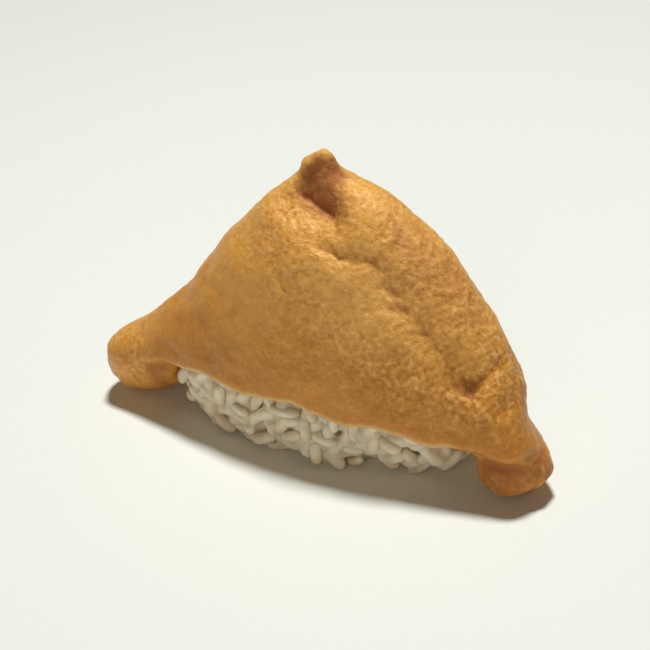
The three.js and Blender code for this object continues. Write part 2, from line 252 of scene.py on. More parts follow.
# %% Tab, slopes and ears
PRESSES = {
    "right foot of the tab": ((2.5, 2.2, 49.8), (1.7, 4.0, 2.0), (-0.2, -0.2, -1.9)),
    "shoulder": ((6.5, 4.0, 47.6), (5.0, 5.0, 4.5), (-0.1, -0.3, -0.7)),
    "right slope": ((14.0, 4.0, 43.5), (6.0, 5.0, 5.0), (-0.2, -0.3, -0.6)),
    "left shoulder": ((-8.0, 0.0, 43.5), (5.0, 6.0, 5.0), (-0.65, 0.0, 0.55)),
    "left slope": ((-17.5, -0.5, 32.5), (7.0, 6.0, 7.0), (-0.75, -0.05, 0.6)),
    "right flank": ((38.6, 2.2, 12.2), (9.0, 6.0, 4.2), (-1.9, -1.1, 0.0)),
    "corner of the right ear": ((41.8, -2.6, 4.8), (2.6, 3.5, 1.7), (0.4, 0.9, 0.0)),
    "neck of the left ear": ((-36.0, -2.0, 15.0), (3.4, 5.0, 2.6), (0.8, 0.05, -0.75)),
    "tip of the left ear": ((-39.8, -8.3, 10.4), (3.0, 4.0, 2.2), (-0.8, -0.5, 0.25)),
    "end of the left lobe": ((-24.6, -7.5, 7.5), (2.2, 3.0, 3.5), (-1.8, 0.0, 0.0)),
    "foot of the left ear": ((-37.5, -10.0, 4.5), (3.0, 4.0, 3.0), (0.7, 0.2, 0.0)),
    "lip, left half": ((-8.0, -14.2, 13.6), (10.0, 4.0, 3.0), (0.0, 0.0, -1.5)),
    "lip, right half": ((9.5, -14.2, 13.2), (6.5, 4.0, 3.0), (0.0, 0.0, -1.8)),
    "lip of the right ear": ((36.8, -9.8, 9.8), (4.5, 2.5, 1.6), (0.0, -0.4, -0.2)),
    "lip of the left ear": ((-29.0, -10.8, 11.2), (2.5, 2.5, 1.5), (0.0, -0.3, -0.6)),
}
for region in PRESSES.values():
    press(pouch, *region)
print("pressed:", ", ".join(PRESSES))

# %% [markdown]
# ## Lobes under the ears' lips
#
# At the ears the back sheet is tucked in under the lip of the front one. The two could be modelled as
# separate sheets, but from outside only the step between them shows. So everything below the lip's line
# steps back a little. The same two lobes get painted shade later, coloured darker under the lips.

# %% Where the lobes are
RIGHT_LIP_TOP = 9.2
RIGHT_LIP_MIDDLE = 37.0
RIGHT_LIP_FALL = 0.08
RIGHT_LOBE_LEFT_END = (31.0, 33.5)
RIGHT_LOBE_BACK = (-3.0, -0.5)
LEFT_LIP_HEIGHT = 11.0
LEFT_LIP_MIDDLE = -28.0
LEFT_LIP_SLOPE = 0.15
LEFT_LOBE_LEFT_END = (-33.0, -30.0)
LEFT_LOBE_RIGHT_END = (-24.0, -21.0)
LEFT_LOBE_BACK = (-5.0, -3.0)


def rising(values, low, high):
    """0 below low, 1 above high, and a smooth step between them."""
    share = np.clip((values - low) / (high - low), 0, 1)
    return share * share * (3 - 2 * share)


def falling(values, low, high):
    """1 below low, 0 above high, and a smooth step between them."""
    return rising(-values, -high, -low)


def lobes(places, step):
    """How much each point belongs to the right and the left lobe, set off from its lip within this step."""
    x, y, z = places.T
    lip = RIGHT_LIP_TOP - RIGHT_LIP_FALL * np.abs(x - RIGHT_LIP_MIDDLE)
    right = rising(lip - z, 0, step) * rising(x, *RIGHT_LOBE_LEFT_END) * falling(y, *RIGHT_LOBE_BACK)
    lip = LEFT_LIP_HEIGHT + LEFT_LIP_SLOPE * (x - LEFT_LIP_MIDDLE)
    left = rising(lip - z, 0, step) * rising(x, *LEFT_LOBE_LEFT_END)
    left = left * falling(x, *LEFT_LOBE_RIGHT_END) * falling(y, *LEFT_LOBE_BACK)
    return right, left


# %% Lobes under the ears' lips
TUCK_RIGHT = 0.9
TUCK_RIGHT_HEIGHT = (0.6, 4.5)
TUCK_LEFT = 0.6
TUCK_LEFT_HEIGHT = (3.0, 6.0)
HEEL_DRAW = 1.0
HEEL_START = (37.0, 42.0)
HEEL_HEIGHT = (1.5, 4.5)

places = points_of(pouch)
x, _, z = places.T
right, left = lobes(places, 1.0)
tuck_right = TUCK_RIGHT * right * rising(z, *TUCK_RIGHT_HEIGHT)
places[:, 1] += tuck_right + TUCK_LEFT * left * rising(z, *TUCK_LEFT_HEIGHT)
places[:, 0] -= HEEL_DRAW * rising(x, *HEEL_START) * falling(z, *HEEL_HEIGHT)
put_points(pouch, places)
close_slots()
print("points in the lobes:", int((right > 0.5).sum()), int((left > 0.5).sum()))

# %% [markdown]
# ## A fold
#
# Where the tofu is gathered, it folds over itself. Cloth simulation makes such folds, but not where they
# are wanted. A fold here follows a line on the front: the skin is pressed in at the line, comes back fast on
# one side and slowly on the other, and may hang over it. The line is given by its places in x and z, and a
# ray along +Y finds where it meets the front.

# %% Lines on the front
FAR_FRONT = -60.0


def on_front(x, z):
    """The point of the pouch's front that is met first, looking along +Y at this x and z."""
    hit, place, _, _ = pouch.ray_cast(Vector((x, FAR_FRONT, z)) * MM, Vector((0, 1, 0)))
    return np.array(place) / MM if hit else np.array((x, 0.0, z))


def to_line(places, line):
    """Each place's nearest point on a line, its share of the line's length, and the line's way there."""
    lengths = np.linalg.norm(np.diff(line, axis=0), axis=1)
    starts = np.concatenate([[0], np.cumsum(lengths)])
    best = np.full(len(places), np.inf)
    nearest, way = np.zeros_like(places), np.zeros_like(places)
    along = np.zeros(len(places))
    for start, stop, length, before in zip(line, line[1:], lengths, starts):
        step = (stop - start) / length
        share = np.clip((places - start) @ step, 0, length)
        foot = start + share[:, None] * step
        gap = np.linalg.norm(places - foot, axis=1)
        closer = gap < best
        best[closer] = gap[closer]
        nearest[closer] = foot[closer]
        along[closer] = (before + share[closer]) / starts[-1]
        way[closer] = step
    return nearest, along, way


# %% One fold
OUTWARD = np.array([0.25, -0.85, 0.45]) / np.linalg.norm([0.25, -0.85, 0.45])
FOLD_REACH = 3.6
ROLL_WIDTH = 0.7
ROLL_OUT = 0.75
ROLL_DOWN = 0.85


def fold(line_xz, depth, above, below, overhang=0.0, roll=2.5, blunt=0.25):
    """Presses a fold into the front along a line of (x, z) places.

    The skin goes in by depth at the line and comes back within the widths above and below it. With an
    overhang, the skin at the height of the roll bulges and hangs over the line, and with a negative one
    it is drawn in and up."""
    line = np.array([on_front(x, z) for x, z in line_xz])
    places = points_of(pouch)
    reach = 3.0 * max(above, below, roll)
    near = np.where((np.abs(places - line.mean(0)) < np.ptp(line, axis=0) / 2 + reach).all(axis=1))[0]
    nearest, along, way = to_line(places[near], line)
    up = np.cross(way, OUTWARD)
    up *= np.sign(up[:, 2:3])
    up /= np.linalg.norm(up, axis=1, keepdims=True)
    gap = places[near] - nearest
    rise = (gap * up).sum(1)
    past = np.sqrt(np.maximum((gap * gap).sum(1) - rise**2, 0))
    fade = rising(np.minimum(along, 1 - along), 0, blunt) * np.exp(-((past / FOLD_REACH) ** 4))
    pressed = np.where(rise > 0, np.exp(-((rise / above) ** 2)), np.exp(-((rise / below) ** 2)))
    swollen = np.exp(-(((rise - roll) / (ROLL_WIDTH * roll)) ** 2))
    move = -OUTWARD * (depth * pressed)[:, None]
    move = move + (OUTWARD * ROLL_OUT - up * ROLL_DOWN) * (overhang * swollen)[:, None]
    places[near] += move * fade[:, None]
    put_points(pouch, places)


# %% [markdown]
# ## Folds below the tab and at the ears
#
# Pinching the tab has drawn a hollow into the skin in front of it, a wide dip with a sharp crease at its
# bottom, so it takes two folds along one line. A second crease lies below it. The last two folds set off the
# front lip from the back sheet at each ear.

# %% Folds below the tab and at the ears
HOLLOW = [(-6.4, 46.0), (-3.0, 45.2), (0.2, 44.5), (3.6, 43.6), (7.6, 42.0)]
CREASE = [(1.0, 41.2), (4.2, 39.8), (7.5, 39.0), (12.0, 39.2)]
LEFT_LIP = [(-31.0, 10.4), (-28.4, 10.7), (-25.0, 11.3), (-21.5, 12.0)]
RIGHT_LIP = [(31.2, 8.7), (34.6, 9.0), (38.0, 9.0), (41.4, 8.5)]

fold(HOLLOW, depth=1.4, above=3.8, below=2.6, blunt=0.3)
fold(HOLLOW, depth=0.7, above=0.8, below=0.4, blunt=0.35)
fold(CREASE, depth=0.7, above=1.2, below=1.0, overhang=0.3, roll=2.0, blunt=0.4)
fold(LEFT_LIP, depth=0.9, above=0.3, below=1.8, blunt=0.3)
fold(RIGHT_LIP, depth=0.9, above=0.3, below=1.6, blunt=0.15)
print("bottom of the hollow, mm:", [round(float(side), 1) for side in on_front(*HOLLOW[2])])

# %% [markdown]
# ## Shoulder
#
# From the folds a shallow valley runs down to the right ear, and the skin beyond it is a smooth roll up to
# the ridge. Noise could break up the valley, but the buckles of real tofu are few and each has its place. So
# ten small dents, a few millimetres long, are pressed in one by one.

# %% Shoulder
VALLEY = [(11.0, 40.0), (14.2, 38.0), (18.5, 32.8), (23.8, 28.4), (27.0, 24.8), (31.0, 20.8), (36.0, 17.6)]
DENTS = (
    # x, z, depth, length, width, turn in degrees
    (12.6, 39.2, 0.4, 2.2, 0.9, 10),
    (14.2, 38.0, 0.5, 1.8, 0.9, -20),
    (16.6, 34.8, 0.45, 2.0, 1.0, -10),
    (19.0, 32.4, 0.35, 1.8, 0.9, 20),
    (22.6, 29.4, 0.3, 1.8, 1.0, -50),
    (25.6, 26.8, 0.35, 1.8, 0.9, -15),
    (27.4, 24.6, 0.35, 2.2, 1.0, -60),
    (30.6, 21.2, 0.55, 2.2, 1.4, -60),
    (33.0, 23.0, 0.7, 2.6, 0.9, 40),
    (36.5, 18.0, 0.5, 1.8, 1.6, 0),
)
DENT_REACH = 6.0
DENT_WAY = np.array([-0.2, 0.85, -0.4])


def dent(x, z, depth, length, width, turn):
    """Presses a soft oval dent into the front, turned by some degrees from the x axis."""
    places = points_of(pouch)
    gap = places - on_front(x, z)
    angle = math.radians(turn)
    along = gap[:, 0] * math.cos(angle) + gap[:, 2] * math.sin(angle)
    across = gap[:, 2] * math.cos(angle) - gap[:, 0] * math.sin(angle)
    inside = np.exp(-((along / length) ** 2) - (across / width) ** 2 - (gap[:, 1] / DENT_REACH) ** 4)
    put_points(pouch, places + DENT_WAY * (depth * inside)[:, None])


fold(VALLEY, depth=0.35, above=2.8, below=2.6, overhang=-0.35, roll=5.0)
for one_dent in DENTS:
    dent(*one_dent)
print("dents on the shoulder:", len(DENTS))

# %% [markdown]
# ## A finer net
#
# Blisters are about a millimetre wide and need several faces each. Subdividing would keep the stretched
# faces of the folds, so the pouch is remeshed once more on a finer grid, and smoothed to lose its steps.

# %% A finer net
FINE_NET = 0.34 * MM
shape_with(pouch, "REMESH", mode="VOXEL", voxel_size=FINE_NET)
shape_with(pouch, "SMOOTH", factor=0.5, iterations=3)
print("pouch:", len(pouch.data.polygons), "faces")

# %% [markdown]
# ## Inside and outside
#
# Blisters belong on the outside. The inner wall could be picked by hand, but a ray finds it by itself: from
# a point of the inner wall it soon meets the opposite wall, and from the outside it flies off.

# %% Inside and outside
def tree_of(piece):
    """A search tree over the piece's faces, in metres."""
    corners = [vertex.co.copy() for vertex in piece.data.vertices]
    return BVHTree.FromPolygons(corners, [tuple(face.vertices) for face in piece.data.polygons])


CAVITY = 3.0 * MM
RAY_START = 0.05 * MM
own = tree_of(pouch)
inner = np.zeros(len(pouch.data.vertices))
for vertex in pouch.data.vertices:
    _, _, _, gap = own.ray_cast(vertex.co + vertex.normal * RAY_START, vertex.normal)
    inner[vertex.index] = 1.0 if gap is not None and gap > CAVITY else 0.0
print("inner wall:", round(100 * inner.mean()), "% of the points")

# %% [markdown]
# ## Blisters and crinkles
#
# Frying has raised the skin in soft lumps, pebbles and blisters of about a millimetre, and simmering has
# wrinkled them. Bump in the material would be cheaper, but only real relief also shows at the outline, so
# the fine net is displaced. The low front is stretched over the rice and nearly smooth, and weights keep
# the blisters to the livelier parts. The inner wall lies against the rice and gets fewer faces at the end.

# %% How crinkled the skin is
def weigh(piece, name, weights):
    """Stores one weight for each point in a vertex group, which modifiers can read."""
    group = piece.vertex_groups.new(name=name)
    for index, weight in enumerate(weights.tolist()):
        group.add([index], weight, "REPLACE")


def liveliness(places):
    """How crinkled the skin is: little low on the front, more on the ears, most by the shoulder and top."""
    x, _, z = places.T
    ears = 0.45 * falling(x, -34, -26) + 0.35 * rising(x, 31, 35) * falling(z, 8, 10)
    return 0.25 + 0.75 * rising(0.6 * x + z, 18, 38) * rising(z, 9, 20) + ears


lively = liveliness(points_of(pouch))
weigh(pouch, "outside", 1 - inner)
weigh(pouch, "crinkled", (1 - inner) * lively)
weigh(pouch, "inside", inner)
print("crinkled, from least to most:", round(float(lively.min()), 2), round(float(lively.max()), 2))

# %% Blisters and crinkles
INNER_SHARE = 0.62


def relief(name, size, depth, octaves, where):
    """Raises the skin by clouds of noise with lumps of this size and depth, in millimetres."""
    clouds = bpy.data.textures.new(name, "CLOUDS")
    clouds.noise_scale = size * MM
    clouds.noise_depth = octaves
    shape_with(
        pouch, "DISPLACE", texture=clouds, texture_coords="LOCAL",
        strength=depth * MM, mid_level=0.5, vertex_group=where,
    )


def triangle_count(piece):
    """How many triangles the piece's mesh has."""
    piece.data.calc_loop_triangles()
    return len(piece.data.loop_triangles)


relief("lumps", 7.0, 0.8, 1, "outside")
relief("pebbles", 2.2, 0.40, 2, "outside")
relief("blisters", 0.95, 0.30, 1, "crinkled")
shape_with(pouch, "DECIMATE", ratio=INNER_SHARE, vertex_group="inside", vertex_group_factor=10.0)
print("pouch:", triangle_count(pouch), "triangles")

# %% [markdown]
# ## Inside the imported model's box
#
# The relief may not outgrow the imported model, and the foot may not go through the floor. Scaling the piece
# down would spoil its fit round the rice. Only a few points pass the box, by a fraction of a millimetre, so
# just those are set back to it.

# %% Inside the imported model's box
HAIR = 0.01
places = points_of(pouch)
kept = np.clip(places, np.array(CAD_LOW) / MM + HAIR, np.array(CAD_HIGH) / MM - HAIR)
print("set back by up to", round(float(np.abs(kept - places).max()), 2), "mm")
put_points(pouch, kept)
pick(pouch)
bpy.ops.object.shade_smooth()

# %% [markdown]
# ## Marks for folds and pits
#
# The colour puts painted shade in hollows, folds and pits and painted light on the tips of the crinkles, so it
# needs to know the shape. The shader's own Pointiness would tell, but it changes with the net of faces and is
# lost on export. So each point stores how far it lies below its smoothed surroundings, once for folds and once
# for the fine crinkles.

# %% Marks for folds and pits
FOLD_ROUNDS, FOLD_DEPTH = 60, 0.5
PIT_ROUNDS, PIT_DEPTH = 5, 0.06


def mark(piece, name, values):
    """Stores one number for each point, which a material can read by its name."""
    attribute = piece.data.attributes.new(name, "FLOAT", "POINT")
    attribute.data.foreach_set("value", values.astype(np.float32))


def normals_of(piece):
    """The direction in which the surface faces at each point."""
    flat = np.zeros(len(piece.data.vertices) * 3)
    piece.data.vertex_normals.foreach_get("vector", flat)
    return flat.reshape(-1, 3)


def sunk(piece, rounds, depth):
    """How far each point lies below its surroundings, smoothed in rounds: 1 is this deep, -1 this high."""
    places = points_of(piece)
    edges = np.zeros(len(piece.data.edges) * 2, dtype=np.int64)
    piece.data.edges.foreach_get("vertices", edges)
    first, second = edges.reshape(-1, 2).T
    count = np.bincount(edges, minlength=len(places))[:, None]
    smooth = places.copy()
    for _ in range(rounds):
        total = np.stack([
            np.bincount(first, smooth[second, axis], len(places))
            + np.bincount(second, smooth[first, axis], len(places))
            for axis in range(3)
        ], axis=1)
        smooth = 0.5 * smooth + 0.5 * total / np.maximum(count, 1)
    return np.clip(((smooth - places) * normals_of(piece)).sum(1) / depth, -1, 1)


# Each point's depth in a fold, where the colour puts painted shade.
mark(pouch, "fold", sunk(pouch, FOLD_ROUNDS, FOLD_DEPTH))
# Each point's depth in a crinkle, for painted shade in pits and painted highlights on tips.
mark(pouch, "pit", sunk(pouch, PIT_ROUNDS, PIT_DEPTH))
print("marked: fold, pit")

# %% [markdown]
# ## Marks for broth, painted shade and painted light
#
# Painted shade darkens the hollow, the front of the tab, the roll of the shoulder and the lobes under the
# ears' lips, and broth has darkened the neck of the left ear and a pit above the right ear. A painted pool of
# light brightens the upper front by the shoulder's foot, and painted light makes the skin lighter towards the
# top and at the left ear, a little less on the left slope. A painted image could say so. Named spots say it
# too, and follow the shape.

# %% Marks for broth and gold
# Painted shade in the hollow, on the tab's front and on the shoulder's roll; broth at the left ear's neck and
# the pit above the right ear.
BROTH_AND_SHADE_SPOTS = {
    "hollow": ((2.2, -3.8, 45.8), (7.4, 4.5, 3.0), 1.0),
    "front of the tab": ((0.9, -2.3, 49.8), (5.2, 4.8, 5.4), 1.2),
    "neck of the left ear": ((-33.5, -7.0, 16.5), (4.0, 4.0, 2.6), 0.4),
    "roll by the shoulder": ((24.0, -3.0, 38.0), (20.0, 5.5, 16.0), 0.7),
    "pit above the right ear": ((31.0, -8.5, 20.6), (3.0, 3.0, 3.0), 0.4),
}
# A painted pool of light on the upper front, by the foot of the shoulder.
LIT_PATCH_SPOTS = {"foot of the shoulder": ((13.0, -9.5, 33.0), (12.0, 8.0, 10.0), 1.0)}
# Painted shade on the lobes under the ears' lips.
RIGHT_LOBE_SHADE = 0.9
LEFT_LOBE_SHADE = 0.75


def in_spots(places, spots):
    """How much each point lies in soft ovals of (centre, half sizes, strength)."""
    share = np.zeros(len(places))
    for centre, radii, strength in spots.values():
        gap = np.linalg.norm((places - centre) / radii, axis=1)
        share = np.maximum(share, strength * falling(gap, 0.3, 1.4))
    return share


def painted_light_share(places):
    """How much painted light lies on the skin: more towards the top and at the left ear, a little less on the
    left slope.
    """
    x, _, z = places.T
    left_slope = falling(x, -20, -8) * rising(z, 14, 24)
    return 0.42 * rising(z, 6, 38) + 0.22 * falling(x, -36, -27) - 0.07 * left_slope


places = points_of(pouch)
right, left = lobes(places, 0.5)
lobe_shade = np.maximum(RIGHT_LOBE_SHADE * right, LEFT_LOBE_SHADE * left)
mark(pouch, "lively", liveliness(places))
mark(pouch, "broth_and_shade", np.maximum(in_spots(places, BROTH_AND_SHADE_SPOTS), lobe_shade))
mark(pouch, "painted_lit_patch", in_spots(places, LIT_PATCH_SPOTS))
mark(pouch, "golden", painted_light_share(places))
print("broth has pooled:", ", ".join(BROTH_AND_SHADE_SPOTS))

# %% [markdown]
# ## Mark for the cut edge
#
# At the mouth the tofu was cut, and its pale inside shows as a thin line. The cut has no faces of its own
# after remeshing, so it is found again: it faces down, and lies at the height of the mouth. A search tree
# then gives every point's distance from it, and the mark fades out over about a millimetre.

# %% Mark for the cut edge
RIM = 1.1
FACES_DOWN = -0.5

x, _, z = places.T
along_mouth = rising(x, -25, -22) * falling(x, 28, 31) * falling(z, 15, 17)
facing_down = np.where(normals_of(pouch)[:, 2] < FACES_DOWN)[0]
near_mouth = facing_down[along_mouth[facing_down] > 0.5]
rim = KDTree(len(near_mouth))
for index in near_mouth.tolist():
    rim.insert(pouch.data.vertices[index].co, index)
rim.balance()
to_rim = np.array([rim.find(vertex.co)[2] for vertex in pouch.data.vertices]) / MM
mark(pouch, "cut_edge", falling(to_rim, 0, RIM) * along_mouth)
print("points on the cut edge:", len(near_mouth))

# %% [markdown]
# ## Shader arithmetic
#
# A finish is a sum of noises and marks. Written node by node it is long and hard to read, so a small class
# wraps a shader socket: sums on it read as plain Python and add their Math nodes. Any other node comes from
# one method, which takes its kind, its settings and its sockets' values or links.

# %% Shader arithmetic
class Wire:
    """A shader socket that can be used in sums, with one method that adds any other node."""

    def __init__(self, tree, socket=None):
        self.tree = tree
        self.socket = socket

    def make(self, kind, settings=None, inputs=None, output=0):
        """Adds a node: its settings first, then its sockets' values or links."""
        node = self.tree.nodes.new(kind)
        for name, value in (settings or {}).items():
            setattr(node, name, value)
        for name, value in (inputs or {}).items():
            if isinstance(value, Wire):
                self.tree.links.new(value.socket, node.inputs[name])
            else:
                node.inputs[name].default_value = value
        return Wire(self.tree, node.outputs[output])

    def calculate(self, operation, first, second):
        """Adds a Math node."""
        return self.make("ShaderNodeMath", {"operation": operation}, {0: first, 1: second})

    def __add__(self, other):
        return self.calculate("ADD", self, other)

    def __mul__(self, other):
        return self.calculate("MULTIPLY", self, other)

    def __sub__(self, other):
        return self.calculate("SUBTRACT", self, other)

    def __rsub__(self, other):
        return self.calculate("SUBTRACT", other, self)

    __radd__ = __add__
    __rmul__ = __mul__

    def between(self, low, high):
        """0 below low, 1 above high, and a smooth step from one to the other."""
        limits = {"Value": self, "From Min": low, "From Max": high}
        return self.make("ShaderNodeMapRange", {"interpolation_type": "SMOOTHSTEP"}, limits)

    def blend(self, first, second):
        """The first colour where this is 0, the second where it is 1."""
        return self.make("ShaderNodeMix", {"data_type": "RGBA"}, {0: self, 6: first, 7: second}, 2)

    def to(self, shader, socket):
        """Links this socket to one of the main shader's."""
        self.tree.links.new(self.socket, shader.inputs[socket])


# %% [markdown]
# ## Ingredients of a finish
#
# Four helpers start a finish and give it its usual ingredients: noise on the piece's own coordinates, so
# that a pattern stays put when the piece moves, a stored mark, and small relief that only the light sees.
# An image could carry a pattern too, but it would need the surface unfolded and would blur close up.

# %% Ingredients of a finish
def new_finish(name, **constants):
    """A material, a wire to start from and its main shader, with the numbers that are the same all over."""
    material = bpy.data.materials.new(name)
    material.use_nodes = True
    shader = material.node_tree.nodes["Principled BSDF"]
    for socket, value in constants.items():
        shader.inputs[socket.replace("_", " ")].default_value = value
    return material, Wire(material.node_tree), shader


def noise(wire, size, detail=2.0, roughness=0.5):
    """Noise on the object's own coordinates, with lumps of about this many millimetres."""
    place = wire.make("ShaderNodeTexCoord", output="Object")
    return wire.make(
        "ShaderNodeTexNoise", None,
        {"Vector": place, "Scale": 1 / (size * MM), "Detail": detail, "Roughness": roughness},
    )


def marked(wire, name):
    """The number that each point stores under this name."""
    return wire.make("ShaderNodeAttribute", {"attribute_name": name}, output=2)


def emboss(shader, height, depth, strength):
    """Tilts the surface for the light alone, as relief of this depth in millimetres would."""
    settings = {"Height": height, "Distance": depth * MM, "Strength": strength}
    height.make("ShaderNodeBump", None, settings).to(shader, "Normal")


# %% [markdown]
# ## Colour of simmered tofu
#
# Simmered tofu skin varies between gold and amber, and is browner where broth has soaked in. One noise would
# look like camouflage. So three sizes of noise and the marks choose between amber and gold, with painted light
# making the top lighter and a painted pool of light on the upper front; patches of russet lie over that, and
# painted honey-coloured highlights sit on the tips of the blisters, with painted shade in their pits. Painted
# shade darkens the folds, the hollow, the tab's front, the shoulder's roll and the lobes under the lips,
# pooled broth darkens a few spots, and the cut edge is pale.

# %% Colour of simmered tofu
GOLD = (0.82, 0.405, 0.086, 1)
AMBER = (0.53, 0.198, 0.027, 1)
# The colour of painted shade, and of pooled broth.
BROTH_AND_SHADE = (0.40, 0.130, 0.042, 1)
# The colour of the painted pool of light.
PAINTED_LIGHT_STRAW = (1.0, 0.57, 0.18, 1)
# The colour of painted highlights on blister tips.
PAINTED_GLINT = (0.97, 0.62, 0.24, 1)
RUSSET = (0.60, 0.215, 0.045, 1)
CUT = (0.80, 0.56, 0.24, 1)
SKIN_MARKS = ("fold", "pit", "lively", "broth_and_shade", "painted_lit_patch", "golden", "cut_edge")

skin, wire, shader = new_finish(
    "simmered_tofu", Subsurface_Weight=0.2, Subsurface_Radius=(1.0, 0.45, 0.15), Subsurface_Scale=1.6 * MM,
    Specular_IOR_Level=0.6, Specular_Tint=(1.0, 0.78, 0.48, 1.0),
)
marks = {name: marked(wire, name) for name in SKIN_MARKS}
mottle = noise(wire, 3.0, 3.0, 0.6)
speck = noise(wire, 0.6, 2.0, 0.6)
# The top is painted lighter, as where the lamp falls.
tone = noise(wire, 14.0) * 0.35 + mottle * 0.3 + speck * 0.3 + marks["golden"]
# Painted shade in the crinkles' pits, painted light on their tips.
base = (tone - marks["pit"] * marks["lively"] * 0.22).between(0.36, 0.96).blend(AMBER, GOLD)
# A painted pool of light on the upper front.
base = (marks["painted_lit_patch"] * 0.4).blend(base, PAINTED_LIGHT_STRAW)
patches = noise(wire, 4.5, 2.0).between(0.5, 0.75)
base = (patches * 0.3).blend(base, RUSSET)
# Painted honey-coloured highlights on the tips of the blisters.
painted_glint = (noise(wire, 1.0, 1.0) - marks["pit"] * 0.2).between(0.5, 0.85)
base = (painted_glint * (marks["lively"] - 0.2) * 0.65).blend(base, PAINTED_GLINT)
# Painted shade in folds, the hollow, on the tab's front, on the shoulder's roll and under the lips, with
# pooled broth and some mottle.
shade_and_broth = marks["fold"] * 0.55 + marks["broth_and_shade"] * 0.85 + mottle * 0.15 - 0.05
base = shade_and_broth.between(0.1, 1.0).blend(base, BROTH_AND_SHADE)
base = (marks["cut_edge"] * 0.8).blend(base, CUT)
base.to(shader, "Base Color")
print("colour of simmered_tofu:", len(skin.node_tree.nodes), "nodes")

# %% [markdown]
# ## Gloss of simmered tofu
#
# The skin is a little translucent, and moist with oil and syrup. A clear coat would put a cold, glaring rim
# round the pouch, so the gloss is the skin's own, with a warm tint. It is duller where broth has soaked in and
# where shade is painted, and breaks up on crinkles too fine for the mesh.

# %% Gloss of simmered tofu
roughness = 0.33 + mottle * 0.2 + marks["broth_and_shade"] * 0.28
roughness.to(shader, "Roughness")
crinkle = noise(wire, 0.7, 3.0, 0.6) + noise(wire, 0.3, 1.0) * 0.35
emboss(shader, crinkle * (0.35 + marks["lively"] * 0.65), 0.30, 0.8)

pouch.data.materials.append(skin)
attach(pouch, "root")
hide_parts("pouch")
print("simmered_tofu:", len(skin.node_tree.nodes), "nodes")

# %% [markdown]
# ## Rice core
#
# The heap is one mass of sticky grains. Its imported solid, smoothed and drawn in by less than a grain, is the
# core that the grains lie on: a heap of loose grains alone would let light through. Out of sight in the
# pouch it is drawn in further, clear of the folds that press the wall inwards. Its foot is lifted at the
# right, where the rice hangs clear of the table, and its lower edge is ragged, because the grains hang
# together in clumps with gaps between them.

# %% Rice core
CORE_NET = 1.1 * MM
CORE_INSET = 1.7
UNSEEN_INSET = 1.6
FOOT_LIFT = np.array([0.0, 0.8, 2.4])
CORE_FOOT = 0.6
CLUMPS = {
    "left end": ((-21.5, -8.5, 9.0), (4.0, 5.0, 5.0), (-2.2, -0.4, 0.0)),
    "hanging clump": ((5.5, -10.5, 1.0), (2.4, 3.0, 3.0), (0.0, -1.5, -1.2)),
    "first gap": ((11.2, -9.0, 1.0), (2.2, 4.0, 2.8), (0.0, 1.2, 2.0)),
    "second gap": ((22.6, -6.0, 1.5), (1.7, 4.0, 2.8), (0.0, 1.0, 2.0)),
}


def keep_above(piece, height):
    """Lifts every point that is lower than this height up to it."""
    places = points_of(piece)
    places[:, 2] = np.maximum(places[:, 2], height)
    put_points(piece, places)


core = copy_of_node("rice_heap", "rice")
shape_with(core, "REMESH", mode="VOXEL", voxel_size=CORE_NET)
shape_with(core, "SMOOTH", factor=0.5, iterations=14)
places = points_of(core)
inset = CORE_INSET + UNSEEN_INSET * rising(places[:, 2], 18, 23)
places -= normals_of(core) * inset[:, None]
x, y, z = places.T
right_foot = rising(x, 5, 14) * falling(y, -9, -4) * falling(z, 0, 7)
put_points(core, places + right_foot[:, None] * FOOT_LIFT)
for region in CLUMPS.values():
    press(core, *region)
keep_above(core, CORE_FOOT)
print("core of the rice:", len(core.data.polygons), "faces")

# %% [markdown]
# ## One grain of rice
#
# A cooked short grain is plump, blunt at its ends and a little bent, about twice as long as wide. It starts
# as a ball of few faces, because it is repeated hundreds of times. Stretching alone would make it an egg, so
# its rings are widened by a formula that keeps the ends blunt, and its middle is set off to one side.

# %% One grain of rice
GRAIN_LENGTH = 5.4
GRAIN_WIDTH = 2.3
GRAIN_FLATNESS = 0.86
BLUNTNESS = 3.4
TAPER = 0.07
BEND = 0.3

grain = add_ball((0, 0, 0), (0.5, 0.5, 0.5), segments=12, rings=8)
shape = points_of(grain)
along = shape[:, 2] * 2
ring = np.sqrt(np.maximum(1 - np.abs(along) ** BLUNTNESS, 0)) / np.sqrt(np.maximum(1 - along**2, 1e-6))
shape[:, :2] *= np.where(np.abs(along) > 0.99, 0, ring)[:, None]
shape[:, 0] *= GRAIN_WIDTH * (1 + TAPER * along)
shape[:, 1] *= GRAIN_WIDTH * GRAIN_FLATNESS * (1 + TAPER * along)
shape[:, 1] += BEND * (1 - along**2)
shape[:, 2] *= GRAIN_LENGTH
grain_faces = [tuple(face.vertices) for face in grain.data.polygons]
bpy.data.objects.remove(grain)
print("one grain:", len(grain_faces), "faces, mm:", np.ptp(shape, axis=0).round(1).tolist())

# %% [markdown]
# ## Laying a grain
#
# Each grain lies on the core at its own angle and height, and no two are quite the same size. At the foot
# of the heap the grains stand out more steeply, so the lower edge is ragged. Blender's particles could do
# this, but they are lost on export, so the points of each grain are worked out here and become real mesh.

# %% Laying a grain
TILT = 0.3
FOOT_TILT = 0.5
WIDTHS = (0.85, 1.1)
LENGTHS = (0.8, 1.1)


